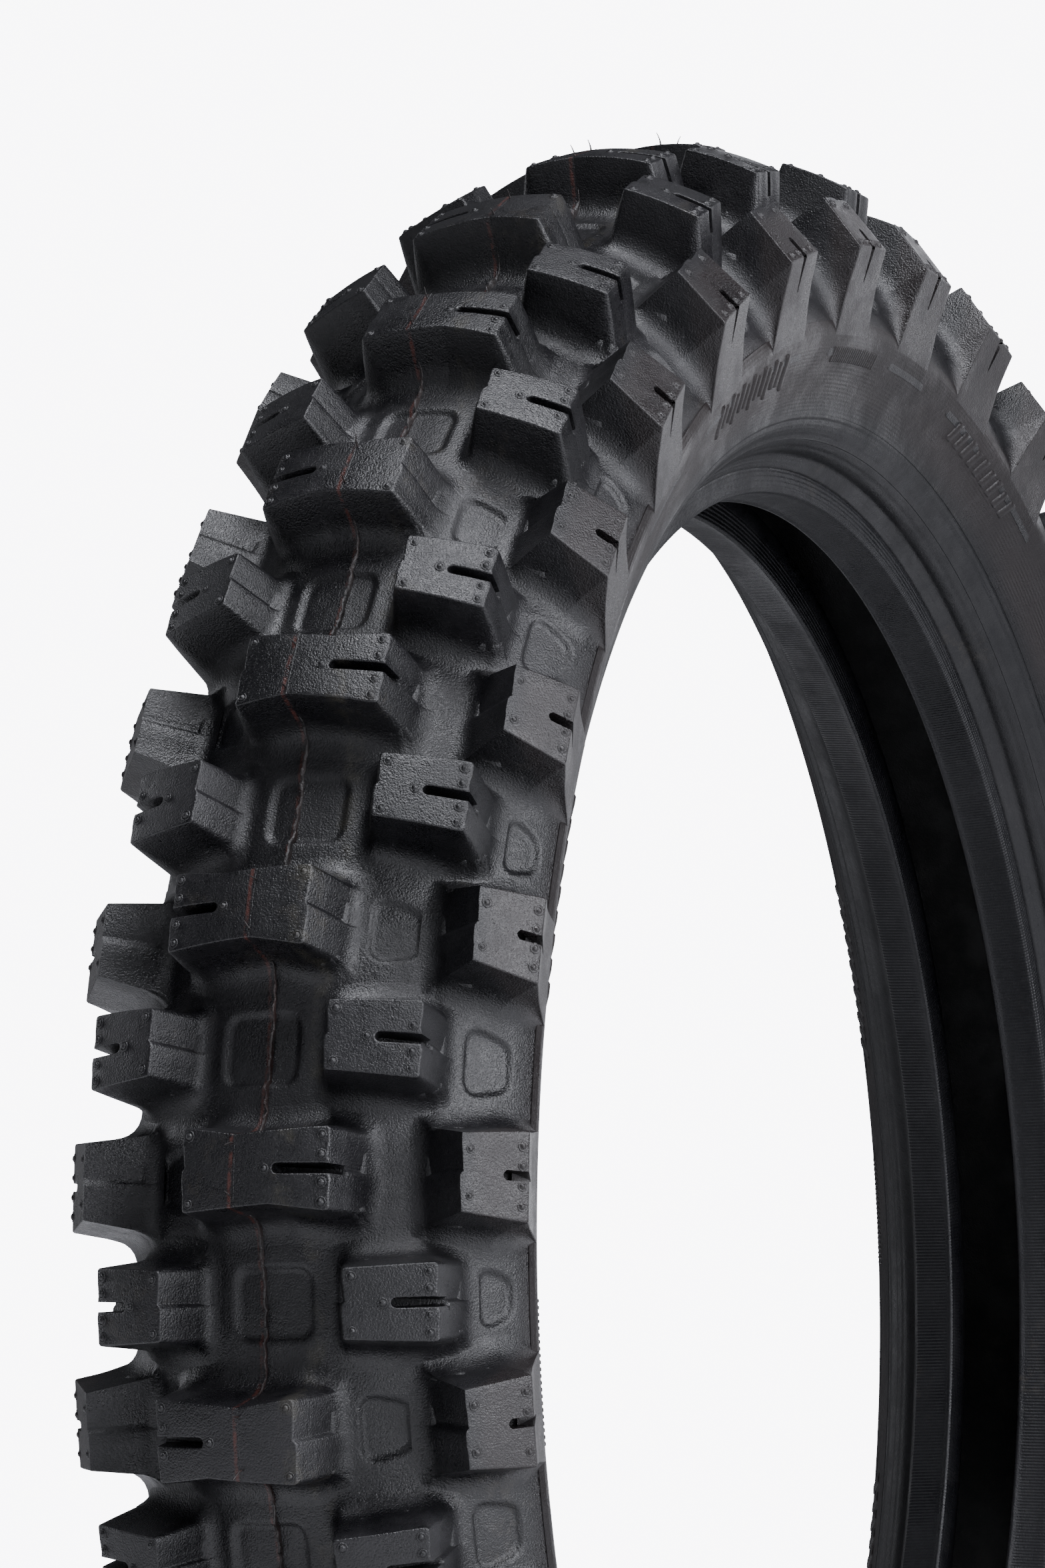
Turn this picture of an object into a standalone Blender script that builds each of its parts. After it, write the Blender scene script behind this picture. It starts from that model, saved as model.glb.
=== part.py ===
"""Knobby off-road rear tyre for a 19 inch rim, 120/90-19 class.

Origin at the wheel centre. The wheel turns about Y, +Y is the left side, +Z is up.
Section sketches are pairs (half width from the centre plane, radius) in millimetres.
"""
import bpy
import bmesh
import math
from mathutils import Vector

MM = 0.001

# Whole tyre
TYRE_RADIUS = 349.5
RIM_SEAT_RADIUS = 241.3
RING_STEPS = 32

# Crown line: radius = TYRE_RADIUS - CROWN_DROP * t^2 + CROWN_LIFT * t^4
CROWN_DROP = 0.00644
CROWN_LIFT = 96.9e-9

# Tread pattern: 32 rows, four block hands in turn
ROW_COUNT = 32
ROW_PITCH = 2 * math.pi / ROW_COUNT
FIRST_ROW = -0.155
KNOB_DEPTH = 17.3
KNOB_SINK = 3.0
WALL_DRAFT = 0.16
SLOT_WIDTH = 2.7
SLOT_DEPTH = 7.0

# Centre block
LONG_SIDE = 24.7
SHORT_SIDE = 15.0
BLOCK_HALF_LENGTH = 10.9
APEX_HALF_LENGTH = 8.8
BEND_OFFSET = 9.5
BEND_HALF_LENGTH = 9.0
BACK_HALF_LENGTH = 9.72
CORNER_CHAMFER = 1.8
CENTRE_SLOT_END = 10.3

# Intermediate knobs, outer and inner positions
OUTER_KNOB = (27.9, 49.7)
INNER_KNOB = (22.4, 44.8)
KNOB_INNER_HALF = 9.1
KNOB_OUTER_HALF = 10.4
KNOB_SLOT_LENGTH = 9.5

# Shoulder knob corners
SHOULDER_INNER_TOP = (53.5, 328.5)
SHOULDER_OUTER_TOP = (65.0, 312.6)
SHOULDER_FOOT = (55.6, 289.6)
SHOULDER_ROOT = (44.0, 312.0)
SHOULDER_INNER_ANGLE = 0.0305
SHOULDER_OUTER_ANGLE = 0.0373
SHOULDER_FOOT_ANGLE = 0.054
SHOULDER_ROOT_ANGLE = 0.0405
SHOULDER_SLOT_LENGTH = 6.0
SHOULDER_SLOT_DROP = 9.0

# Layer offsets measured outwards from the cavity surface
LINER = (0.0, 0.8)
PLY_ONE = (1.1, 1.9)
PLY_TWO = (2.2, 3.0)
BREAKER = (3.3, 4.0)
TREAD_BASE = (4.3, 5.2)
TREAD_INNER = 5.5
SKIN_INNER = 3.3
CHAFER_THICK = 0.8

# Ends of the layers, as point positions along the cavity and bead path
LINER_END = 6.25
PLY_ONE_END = 9.7
PLY_TWO_END = 6.6
BREAKER_END = 2.6
TREAD_BASE_END = 2.45
TREAD_STEP = 2.7
TREAD_EDGE = (2.85, 3.0)
SIDEWALL_SPAN = (3.1, 4.6)
CHAFER_SPAN = (6.45, 8.9)
CUSHION_SPAN = (9.12, 9.8)
CUSHION_INNER = 0.4

# Cavity surface from the centre plane down to the bead toe
CAVITY = [
    (0.0, 322.5),
    (20.0, 318.6),
    (37.2, 307.6),
    (48.6, 291.4),
    (48.4, 280.8),
    (18.4, 259.4),
    (12.6, 252.0),
    (12.6, 239.9),
]
# Bead base and outer bead wall, carried on from the toe
BEAD_WRAP = [
    (26.4, RIM_SEAT_RADIUS),
    (26.4, 249.4),
    (38.6, 258.8),
]
FLOOR = [
    (0.0, 332.2),
    (12.0, 331.0),
    (24.0, 327.4),
    (36.7, 321.0),
    (46.0, 314.0),
    (52.2, 305.0),
    (55.2, 296.5),
    (56.4, 287.6),
]
SIDEWALL_OUTER = [
    (56.3, 287.15),
    (54.8, 283.2),
    (50.4, 275.8),
    (45.6, 266.6),
    (38.9, 257.3),
    (35.4, 259.2),
]
CUSHION_OUTER = [
    (38.5, 256.9),
    (33.4, 252.2),
    (27.0, 249.2),
]
BEAD_CORE = [
    (16.4, 242.8),
    (23.8, 243.6),
    (23.8, 249.4),
    (16.4, 249.4),
]
FILLER = [
    (16.4, 249.8),
    (23.7, 249.8),
    (32.5, 262.5),
    (20.6, 256.3),
    (16.4, 250.8),
]


def clear_scene():
    for old in list(bpy.data.objects):
        bpy.data.objects.remove(old, do_unlink=True)


def material(name, colour, roughness, metallic=0.0):
    made = bpy.data.materials.new(name)
    made.use_nodes = True
    shader = made.node_tree.nodes["Principled BSDF"]
    shader.inputs["Base Color"].default_value = (*colour, 1.0)
    shader.inputs["Roughness"].default_value = roughness
    shader.inputs["Metallic"].default_value = metallic
    made.diffuse_color = (*colour, 1.0)
    return made


def offset_path(path, distance):
    """Parallel line beside an open path, to the left of its direction of travel."""
    normals = []
    for (t0, r0), (t1, r1) in zip(path[:-1], path[1:]):
        length = math.hypot(t1 - t0, r1 - r0)
        normals.append(((r0 - r1) / length, (t1 - t0) / length))
    moved = []
    for i, (t, r) in enumerate(path):
        before = normals[max(i - 1, 0)]
        after = normals[min(i, len(normals) - 1)]
        nt, nr = before[0] + after[0], before[1] + after[1]
        scale = 2.0 / (nt * nt + nr * nr)
        moved.append((t + distance * nt * scale, r + distance * nr * scale))
    return moved


def mirrored(path):
    """Full-width path from a half path that starts on the centre plane."""
    left = [(-t, r) for t, r in reversed(path[1:])]
    return left + path


def cut_path(path, first, last):
    """Part of a path between two fractional point positions."""
    def point(u):
        i = min(int(u), len(path) - 2)
        f = u - i
        a, b = path[i], path[i + 1]
        return (a[0] + (b[0] - a[0]) * f, a[1] + (b[1] - a[1]) * f)

    inside = [path[i] for i in range(math.ceil(first), math.floor(last) + 1)]
    part = [point(first)] + inside + [point(last)]
    kept = [part[0]]
    for p in part[1:]:
        if math.dist(p, kept[-1]) > 0.05:
            kept.append(p)
    return kept


def strip(path, near, far):
    """Closed section of a layer that follows a path between two offsets."""
    return offset_path(path, near) + list(reversed(offset_path(path, far)))


def ring(name, section, look, side=1):
    """Solid ring about Y from a closed section."""
    mesh = bpy.data.meshes.new(name)
    points = [(r * MM, side * t * MM, 0.0) for t, r in section]
    edges = [(i, (i + 1) % len(points)) for i in range(len(points))]
    mesh.from_pydata(points, edges, [])
    body = bpy.data.objects.new(name, mesh)
    bpy.context.collection.objects.link(body)
    screw = body.modifiers.new("turn", "SCREW")
    screw.axis = "Y"
    screw.angle = 2 * math.pi
    screw.steps = RING_STEPS
    screw.render_steps = RING_STEPS
    screw.use_merge_vertices = True
    screw.merge_threshold = 0.00001
    screw.use_smooth_shade = True
    apply_modifiers(body)
    face_outwards(body)
    body.data.materials.append(look)
    body.data.set_sharp_from_angle(angle=math.radians(35))
    return body


def apply_modifiers(body):
    view = bpy.context.view_layer
    view.update()
    ready = body.evaluated_get(view.depsgraph)
    result = bpy.data.meshes.new_from_object(ready)
    body.modifiers.clear()
    body.data = result


def face_outwards(body):
    work = bmesh.new()
    work.from_mesh(body.data)
    bmesh.ops.recalc_face_normals(work, faces=work.faces)
    work.to_mesh(body.data)
    work.free()


def crown(t):
    return TYRE_RADIUS - CROWN_DROP * t * t + CROWN_LIFT * t ** 4


def crown_normal(t):
    slope = -2 * CROWN_DROP * t + 4 * CROWN_LIFT * t ** 3
    length = math.hypot(slope, 1.0)
    return (-slope / length, 1.0 / length)


def place(t, r, angle):
    """World point of a section point turned to a tread angle."""
    return Vector((-r * math.cos(angle) * MM, -t * MM, r * math.sin(angle) * MM))


def knob_point(t, s, depth, row_angle):
    """Point under the crown line: t across, s around, depth below the top."""
    nt, nr = crown_normal(t)
    return place(t - nt * depth, crown(t) - nr * depth, row_angle + s / TYRE_RADIUS)


def spread(point, centre, depth):
    """Plan position of a wall point at a depth, leaning outwards by the draft."""
    away = Vector((point[0] - centre[0], point[1] - centre[1]))
    away.normalize()
    return (point[0] + away.x * depth * WALL_DRAFT, point[1] + away.y * depth * WALL_DRAFT)


def add_knob(work, outline, split, slot_edge, slot_end, row_angle):
    """Tapered block with one open slot.

    outline: plan corners (t, s); split: two corner indices joined across the top, or None;
    slot_edge: index of the edge that the slot opens through; slot_end: t of its closed end.
    """
    count = len(outline)
    centre = (
        sum(p[0] for p in outline) / count,
        sum(p[1] for p in outline) / count,
    )
    floor_depth = KNOB_DEPTH + KNOB_SINK

    def vertex(point, depth, lean=True):
        plan = spread(point, centre, depth) if lean else point
        return work.verts.new(knob_point(plan[0], plan[1], depth, row_angle))

    top = [vertex(p, 0.0) for p in outline]
    foot = [vertex(p, floor_depth) for p in outline]
    a, b = outline[slot_edge], outline[(slot_edge + 1) % count]
    turn = 1.0 if b[1] > a[1] else -1.0
    middle = (a[1] + b[1]) / 2
    half = SLOT_WIDTH / 2 * turn
    mouth = []
    for s in (middle - half, middle + half):
        f = (s - a[1]) / (b[1] - a[1])
        mouth.append((a[0] + (b[0] - a[0]) * f, s))
    back = [(slot_end, middle - half), (slot_end, middle + half)]
    mouth_top = [vertex(p, 0.0) for p in mouth]
    mouth_low = [vertex(p, SLOT_DEPTH) for p in mouth]
    back_top = [vertex(p, 0.0, False) for p in back]
    back_low = [vertex(p, SLOT_DEPTH, False) for p in back]
    loop = []
    for i in range(count):
        loop.append(top[i])
        if i == slot_edge:
            loop += [mouth_top[0], back_top[0], back_top[1], mouth_top[1]]
    if split is None:
        work.faces.new(loop)
    else:
        first, last = loop.index(top[split[0]]), loop.index(top[split[1]])
        work.faces.new(loop[first:last + 1])
        work.faces.new(loop[last:] + loop[:first + 1])
    for i in range(count):
        j = (i + 1) % count
        if i == slot_edge:
            work.faces.new([
                top[i], foot[i], foot[j], top[j],
                mouth_top[1], mouth_low[1], mouth_low[0], mouth_top[0],
            ])
        else:
            work.faces.new([top[i], foot[i], foot[j], top[j]])
    work.faces.new([mouth_top[0], mouth_low[0], back_low[0], back_top[0]])
    work.faces.new([back_top[0], back_low[0], back_low[1], back_top[1]])
    work.faces.new([back_top[1], back_low[1], mouth_low[1], mouth_top[1]])
    work.faces.new([mouth_low[0], mouth_low[1], back_low[1], back_low[0]])
    if split is None:
        work.faces.new(list(reversed(foot)))
    else:
        first, last = split
        work.faces.new(list(reversed(foot[first:last + 1])))
        work.faces.new(list(reversed(foot[last:] + foot[:first + 1])))


def turned(outline, hand, flip):
    """Outline in another hand: mirrored across the centre plane and along the row."""
    return [(t * hand, s * flip) for t, s in outline]


def centre_block(work, row):
    """Centre block: long side and slot to one hand, bent leading and trailing edges."""
    row_angle = FIRST_ROW + row * ROW_PITCH
    hand = 1 if row % 2 == 0 else -1
    flip = 1 if row % 4 < 2 else -1
    cut = CORNER_CHAMFER
    outline = [
        (0.0, APEX_HALF_LENGTH),
        (-LONG_SIDE + cut, BLOCK_HALF_LENGTH),
        (-LONG_SIDE, BLOCK_HALF_LENGTH - cut),
        (-LONG_SIDE, -BLOCK_HALF_LENGTH + cut),
        (-LONG_SIDE + cut, -BLOCK_HALF_LENGTH),
        (-BEND_OFFSET, -BEND_HALF_LENGTH),
        (0.0, -BACK_HALF_LENGTH),
        (SHORT_SIDE - cut, -BLOCK_HALF_LENGTH),
        (SHORT_SIDE, -BLOCK_HALF_LENGTH + cut),
        (SHORT_SIDE, BLOCK_HALF_LENGTH - cut),
        (SHORT_SIDE - cut, BLOCK_HALF_LENGTH),
    ]
    shape = turned(outline, hand, flip)
    add_knob(work, shape, (0, 6), 2, -CENTRE_SLOT_END * hand, row_angle)


def intermediate_knob(work, row, hand, reach):
    """Knob between two rows; its slot opens outwards."""
    row_angle = FIRST_ROW + (row + 0.5) * ROW_PITCH
    inner, outer = reach
    outline = [
        (inner, KNOB_INNER_HALF),
        (inner, -KNOB_INNER_HALF),
        (outer - CORNER_CHAMFER, -KNOB_OUTER_HALF),
        (outer, -KNOB_OUTER_HALF + CORNER_CHAMFER),
        (outer, KNOB_OUTER_HALF - CORNER_CHAMFER),
        (outer - CORNER_CHAMFER, KNOB_OUTER_HALF),
    ]
    shape = turned(outline, hand, 1)
    add_knob(work, shape, None, 3, (outer - KNOB_SLOT_LENGTH) * hand, row_angle)


def shoulder_knob(work, row, hand):
    """Knob over the tyre's edge, its outer face running down into the sidewall."""
    angle = FIRST_ROW + row * ROW_PITCH
    ti, ri = SHOULDER_INNER_TOP
    to, ro = SHOULDER_OUTER_TOP
    tf, rf = SHOULDER_FOOT
    tr, rr = SHOULDER_ROOT

    def corner(t, r, turn):
        return work.verts.new(place(t * hand, r, angle + turn))

    sides = []
    for turn in (-1, 1):
        sides.append([
            corner(ti, ri, turn * SHOULDER_INNER_ANGLE),
            corner(to, ro, turn * SHOULDER_OUTER_ANGLE),
            corner(tf, rf, turn * SHOULDER_FOOT_ANGLE),
            corner(tr, rr, turn * SHOULDER_ROOT_ANGLE),
        ])
    low, high = sides
    half = SLOT_WIDTH / 2 / ro
    along = SHOULDER_SLOT_LENGTH / math.dist(SHOULDER_INNER_TOP, SHOULDER_OUTER_TOP)
    back_t, back_r = to + (ti - to) * along, ro + (ri - ro) * along
    down = SHOULDER_SLOT_DROP / math.dist(SHOULDER_OUTER_TOP, SHOULDER_FOOT)
    foot_t, foot_r = to + (tf - to) * down, ro + (rf - ro) * down
    mouth = [corner(to, ro, turn * half) for turn in (-1, 1)]
    back = [corner(back_t, back_r, turn * half) for turn in (-1, 1)]
    toe = [corner(foot_t, foot_r, turn * half) for turn in (-1, 1)]
    work.faces.new([low[0], low[1], mouth[0], back[0], back[1], mouth[1], high[1], high[0]])
    work.faces.new([low[1], low[2], high[2], high[1], mouth[1], toe[1], toe[0], mouth[0]])
    work.faces.new([mouth[0], toe[0], back[0]])
    work.faces.new([mouth[1], back[1], toe[1]])
    work.faces.new([back[0], toe[0], toe[1], back[1]])
    work.faces.new([low[3], low[2], low[1], low[0]])
    work.faces.new([high[0], high[1], high[2], high[3]])
    work.faces.new([low[0], high[0], high[3], low[3]])
    work.faces.new([low[3], high[3], high[2], low[2]])


def tread_knobs():
    """All the knobs, standing clear of each other, with their feet in the tread floor."""
    work = bmesh.new()
    for row in range(ROW_COUNT):
        centre_block(work, row)
        for hand in (-1, 1):
            outward = (row % 2 == 0) == (hand > 0)
            intermediate_knob(work, row, hand, OUTER_KNOB if outward else INNER_KNOB)
            shoulder_knob(work, row, hand)
    bmesh.ops.triangulate(work, faces=work.faces)
    bmesh.ops.recalc_face_normals(work, faces=work.faces)
    mesh = bpy.data.meshes.new("knobs")
    work.to_mesh(mesh)
    work.free()
    knobs = bpy.data.objects.new("knobs", mesh)
    bpy.context.collection.objects.link(knobs)
    return knobs


def tread_section():
    """Floor of the tread with a step inside its edges for the tread base."""
    deep = offset_path(mirrored(CAVITY), TREAD_INNER)
    close = offset_path(CAVITY, SKIN_INNER)
    middle = len(CAVITY) - 1
    inner = cut_path(deep, middle - TREAD_STEP, middle + TREAD_STEP)
    edge = cut_path(close, *TREAD_EDGE)
    other_edge = [(-t, r) for t, r in reversed(edge)]
    return mirrored(FLOOR) + list(reversed(other_edge + inner + edge))


def build():
    clear_scene()
    looks = {
        "tread_rubber": material("tread_rubber", (0.022, 0.022, 0.024), 0.55),
        "sidewall_rubber": material("sidewall_rubber", (0.030, 0.028, 0.028), 0.5),
        "cushion_rubber": material("cushion_rubber", (0.026, 0.026, 0.030), 0.45),
        "liner_rubber": material("liner_rubber", (0.012, 0.012, 0.014), 0.6),
        "ply_cord": material("ply_cord", (0.16, 0.12, 0.08), 0.8),
        "breaker_cord": material("breaker_cord", (0.20, 0.16, 0.10), 0.8),
        "base_rubber": material("base_rubber", (0.035, 0.032, 0.030), 0.6),
        "bead_steel": material("bead_steel", (0.55, 0.45, 0.28), 0.35, 1.0),
        "filler_rubber": material("filler_rubber", (0.045, 0.040, 0.040), 0.5),
        "chafer_fabric": material("chafer_fabric", (0.040, 0.040, 0.045), 0.7),
    }
    wrap = CAVITY + BEAD_WRAP
    carcass = mirrored(wrap)
    middle = len(wrap) - 1

    def layer(name, end, span, look):
        path = cut_path(carcass, middle - end, middle + end)
        ring(name, strip(path, *span), looks[look])

    layer("inner_liner", LINER_END, LINER, "liner_rubber")
    layer("body_ply_inner", PLY_ONE_END, PLY_ONE, "ply_cord")
    layer("body_ply_outer", PLY_TWO_END, PLY_TWO, "ply_cord")
    layer("crown_breaker", BREAKER_END, BREAKER, "breaker_cord")
    layer("tread_base", TREAD_BASE_END, TREAD_BASE, "base_rubber")

    chafer = strip(cut_path(wrap, *CHAFER_SPAN), 0.0, CHAFER_THICK)
    cushion = CUSHION_OUTER + offset_path(cut_path(wrap, *CUSHION_SPAN), CUSHION_INNER)
    wall_inner = cut_path(offset_path(CAVITY, SKIN_INNER), *SIDEWALL_SPAN)
    sidewall = SIDEWALL_OUTER + list(reversed(wall_inner))
    for name, side in (("left", 1), ("right", -1)):
        ring("bead_core_" + name, BEAD_CORE, looks["bead_steel"], side)
        ring("bead_filler_" + name, FILLER, looks["filler_rubber"], side)
        ring("chafer_" + name, chafer, looks["chafer_fabric"], side)
        ring("rim_cushion_" + name, cushion, looks["cushion_rubber"], side)
        ring("sidewall_" + name, sidewall, looks["sidewall_rubber"], side)

    tread = ring("tread", tread_section(), looks["tread_rubber"])
    knobs = tread_knobs()
    join = tread.modifiers.new("knobs", "BOOLEAN")
    join.operation = "UNION"
    join.solver = "EXACT"
    join.object = knobs
    apply_modifiers(tread)
    bpy.data.objects.remove(knobs, do_unlink=True)
    face_outwards(tread)


build()
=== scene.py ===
"""Studio scene of an unmounted knobby off-road rear tyre.

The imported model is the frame. The layers that show are rebuilt here with full detail.
The wheel turns about Y, +Y is its left side. Section points are (t, r): t is the half
width from the centre plane, positive to the right (-Y), r is the radius, both in mm.
Angles run from the front (-X) up over the top (+Z).
"""
import math

import bpy
import numpy as np
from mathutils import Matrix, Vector
from mathutils.geometry import delaunay_2d_cdt

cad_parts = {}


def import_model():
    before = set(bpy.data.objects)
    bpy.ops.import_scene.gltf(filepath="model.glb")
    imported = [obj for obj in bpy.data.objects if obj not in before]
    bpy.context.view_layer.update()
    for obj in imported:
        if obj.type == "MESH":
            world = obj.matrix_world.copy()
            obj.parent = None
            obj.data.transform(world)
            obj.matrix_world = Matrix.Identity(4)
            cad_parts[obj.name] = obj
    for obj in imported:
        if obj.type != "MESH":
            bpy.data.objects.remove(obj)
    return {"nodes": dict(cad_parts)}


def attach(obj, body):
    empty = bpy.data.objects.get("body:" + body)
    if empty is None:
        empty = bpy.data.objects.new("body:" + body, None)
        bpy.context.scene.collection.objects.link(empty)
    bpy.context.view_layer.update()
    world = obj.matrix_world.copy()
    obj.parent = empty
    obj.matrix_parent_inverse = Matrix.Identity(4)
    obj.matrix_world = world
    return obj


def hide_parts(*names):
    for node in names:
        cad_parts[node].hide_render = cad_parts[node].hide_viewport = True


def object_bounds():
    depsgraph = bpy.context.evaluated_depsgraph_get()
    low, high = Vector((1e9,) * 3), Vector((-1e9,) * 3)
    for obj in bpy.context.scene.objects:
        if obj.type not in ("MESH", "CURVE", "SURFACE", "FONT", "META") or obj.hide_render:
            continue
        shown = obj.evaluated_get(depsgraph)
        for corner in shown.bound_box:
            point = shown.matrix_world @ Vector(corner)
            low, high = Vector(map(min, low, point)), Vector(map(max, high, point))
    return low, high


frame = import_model()
cad_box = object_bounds()

MM = 0.001
TURN = 2 * math.pi

# Tread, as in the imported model: lengths in mm, angles in radians
TYRE_RADIUS = 349.5
FLOOR_RADIUS = 332.2
CROWN_DROP = 0.00644
CROWN_LIFT = 96.9e-9
ROW_COUNT = 32
PATTERN_ROWS = 4
PITCH = TURN / ROW_COUNT
PERIOD = PATTERN_ROWS * PITCH
FIRST_ROW = -0.155
KNOB_DEPTH = 17.3
LONG_SIDE = 24.7
SHORT_SIDE = 15.0
BLOCK_HALF = 10.9
APEX_HALF = 8.8
BEND_OFFSET = 9.5
BEND_HALF = 9.0
SLOT_END = 10.3
SLOT_HALF = 1.3
OUTER_KNOB = (27.9, 49.7)
INNER_KNOB = (22.4, 44.8)
KNOB_INNER_HALF = 9.1
KNOB_OUTER_HALF = 10.4
KNOB_SLOT = 10.5
# Walls lean out by this much per unit of depth, and end in fillets of this size
DRAFT = 0.14
CENTRE_END_DRAFT = 0.52
OUTER_END_DRAFT = 0.4
SIDE_FILLET = 6.8
END_FILLET = 4.0
FILLET_SHARE = 0.72  # the most that a fillet takes of a short wall
SINK = 0.02
FLOOR = [
    (0.0, FLOOR_RADIUS), (12.0, 330.9), (24.0, 326.7), (36.7, 318.6),
    (46.0, 309.8), (52.0, 300.6), (54.9, 293.2), (55.9, 288.0), (54.9, 284.4),
]
# Shoulder knob: profile of its outside from the inner top edge to its run-out
SHOULDER_TOP = [(53.5, 328.5), (65.0, 312.6)]
SHOULDER_FACE = [(65.0, 312.6), (60.2, 300.0), (57.6, 291.5), (55.7, 285.6), (53.4, 280.6)]
SHOULDER_ANGLES = (0.0305, 0.0373, 0.056)

rng = np.random.default_rng(7)


# ---- mesh helpers

def world(t, r, phi):
    """World points, in metres, of section points turned to an angle."""
    t, r, phi = np.broadcast_arrays(t, r, phi)
    return np.stack([-r * np.cos(phi), -t, r * np.sin(phi)], -1) * MM


def new_mesh(name, points, polygons):
    """Object from points (n, 3) and a list of face index arrays, each (m, k)."""
    mesh = bpy.data.meshes.new(name)
    polygons = [np.asarray(p, dtype=np.int32) for p in polygons if len(p)]
    flat = np.concatenate([p.ravel() for p in polygons])
    sizes = np.concatenate([np.full(len(p), p.shape[1], dtype=np.int32) for p in polygons])
    mesh.vertices.add(len(points))
    mesh.vertices.foreach_set("co", np.asarray(points, dtype=np.float32).ravel())
    mesh.loops.add(len(flat))
    mesh.loops.foreach_set("vertex_index", flat)
    mesh.polygons.add(len(sizes))
    mesh.polygons.foreach_set("loop_start", np.concatenate([[0], np.cumsum(sizes)[:-1]]))
    mesh.polygons.foreach_set("loop_total", sizes)
    mesh.polygons.foreach_set("use_smooth", np.ones(len(sizes), dtype=bool))
    mesh.update(calc_edges=True)
    mesh.validate()
    piece = bpy.data.objects.new(name, mesh)
    bpy.context.collection.objects.link(piece)
    return piece


class Gather:
    """Points and faces of many small parts, for one mesh."""

    def __init__(self):
        self.points = []
        self.tris = []
        self.quads = []
        self.count = 0

    def add(self, points, tris=None, quads=None, reverse=False):
        step = -1 if reverse else 1
        self.points.append(points)
        if tris is not None and len(tris):
            self.tris.append(np.asarray(tris)[:, ::step] + self.count)
        if quads is not None and len(quads):
            self.quads.append(np.asarray(quads)[:, ::step] + self.count)
        self.count += len(points)

    def make(self, name, sharp=None):
        faces = []
        if self.tris:
            faces.append(np.concatenate(self.tris))
        if self.quads:
            faces.append(np.concatenate(self.quads))
        piece = new_mesh(name, np.concatenate(self.points), faces)
        if sharp is not None:
            piece.data.set_sharp_from_angle(angle=math.radians(sharp))
            weigh = piece.modifiers.new("weigh", "WEIGHTED_NORMAL")
            weigh.keep_sharp = True
            weigh.weight = 60
        return piece


def grid_quads(rows, columns, wrap=False, closed=False):
    """Quads of a grid numbered row by row; wrap joins its end columns, closed its end rows."""
    down, across = rows if closed else rows - 1, columns if wrap else columns - 1
    i, j = np.meshgrid(np.arange(down), np.arange(across), indexing="ij")
    below, k = (i + 1) % rows, (j + 1) % columns
    return np.stack([
        i * columns + j, i * columns + k, below * columns + k, below * columns + j,
    ], -1).reshape(-1, 4)


def arc_lengths(points):
    """Length along a path up to each of its points."""
    return np.concatenate([[0.0], np.cumsum(np.hypot(*np.diff(points, axis=0).T))])


def unit_slopes(points, lengths):
    slopes = np.gradient(points, lengths, axis=0)
    return slopes / np.hypot(*slopes.T)[:, None]


def path_at(v, lengths, points, slopes):
    """Section point and slope, as four values, of a path at an arc length."""
    return [np.interp(v, lengths, column) for column in (*points.T, *slopes.T)]


def spline(points, step):
    """Smooth dense path through section points, about one point every step mm."""
    p = np.array(points, float)
    s = arc_lengths(p)
    m = np.gradient(p, s, axis=0)
    out = []
    for i in range(len(p) - 1):
        h = s[i + 1] - s[i]
        count = max(2, int(round(h / step)))
        x = (np.arange(count) / count)[:, None]
        a = 2 * x ** 3 - 3 * x ** 2 + 1
        b = x ** 3 - 2 * x ** 2 + x
        c = -2 * x ** 3 + 3 * x ** 2
        d = x ** 3 - x ** 2
        out.append(a * p[i] + b * h * m[i] + c * p[i + 1] + d * h * m[i + 1])
    out.append(p[-1:])
    return np.concatenate(out)


def smooth(x):
    x = np.clip(x, 0.0, 1.0)
    return x * x * (3 - 2 * x)


# ---- surfaces

def crown(t):
    return TYRE_RADIUS - CROWN_DROP * t * t + CROWN_LIFT * t ** 4


def crown_normal(t):
    slope = -2 * CROWN_DROP * t + 4 * CROWN_LIFT * t ** 3
    length = np.hypot(slope, 1.0)
    return -slope / length, 1.0 / length


half_floor = spline(FLOOR, 0.5)
floor_line = np.concatenate([half_floor[:0:-1] * (-1, 1), half_floor])
floor_u = arc_lengths(floor_line)
floor_u -= floor_u[len(half_floor) - 1]
FLOOR_END = float(floor_u[-1])
floor_slopes = unit_slopes(floor_line, floor_u)


def floor_at(u):
    """Section point and outward normal of the tread floor at an arc length."""
    t, r, dt, dr = path_at(u, floor_u, floor_line, floor_slopes)
    return t, r, -dr, dt


def floor_radius(t):
    return np.interp(t, floor_line[:, 0], floor_line[:, 1])


def floor_length(t):
    return np.interp(t, floor_line[:, 0], floor_u)


# ---- outlines

ARC_STEP = 0.4  # angle between the points of a rounded corner
EDGE_SHARE = 0.45  # the most that a rounded corner takes of an edge


def rounded(corners, spacing):
    """Closed outline, anticlockwise, with rounded corners: corners are (t, s, radius)."""
    points = []
    count = len(corners)
    for i, (t, s, radius) in enumerate(corners):
        here = np.array([t, s])
        before = np.array(corners[i - 1][:2]) - here
        after = np.array(corners[(i + 1) % count][:2]) - here
        lb, la = np.hypot(*before), np.hypot(*after)
        before, after = before / lb, after / la
        if radius <= 0:
            points.append(here)
            continue
        angle = math.acos(max(-1.0, min(1.0, float(before @ after))))
        cut = min(radius / math.tan(angle / 2), EDGE_SHARE * lb, EDGE_SHARE * la)
        n = max(2, int(round((math.pi - angle) / ARC_STEP)))
        for k in range(n + 1):
            f = k / n
            a = here + before * cut * (1 - f)
            b = here + after * cut * f
            points.append(a * (1 - f) + b * f)
    points = np.array(points)
    out = []
    for a, b in zip(points, np.roll(points, -1, axis=0)):
        n = max(1, int(math.ceil(np.hypot(*(b - a)) / spacing)))
        out += [a + (b - a) * k / n for k in range(n)]
    return np.array(out)


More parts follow.
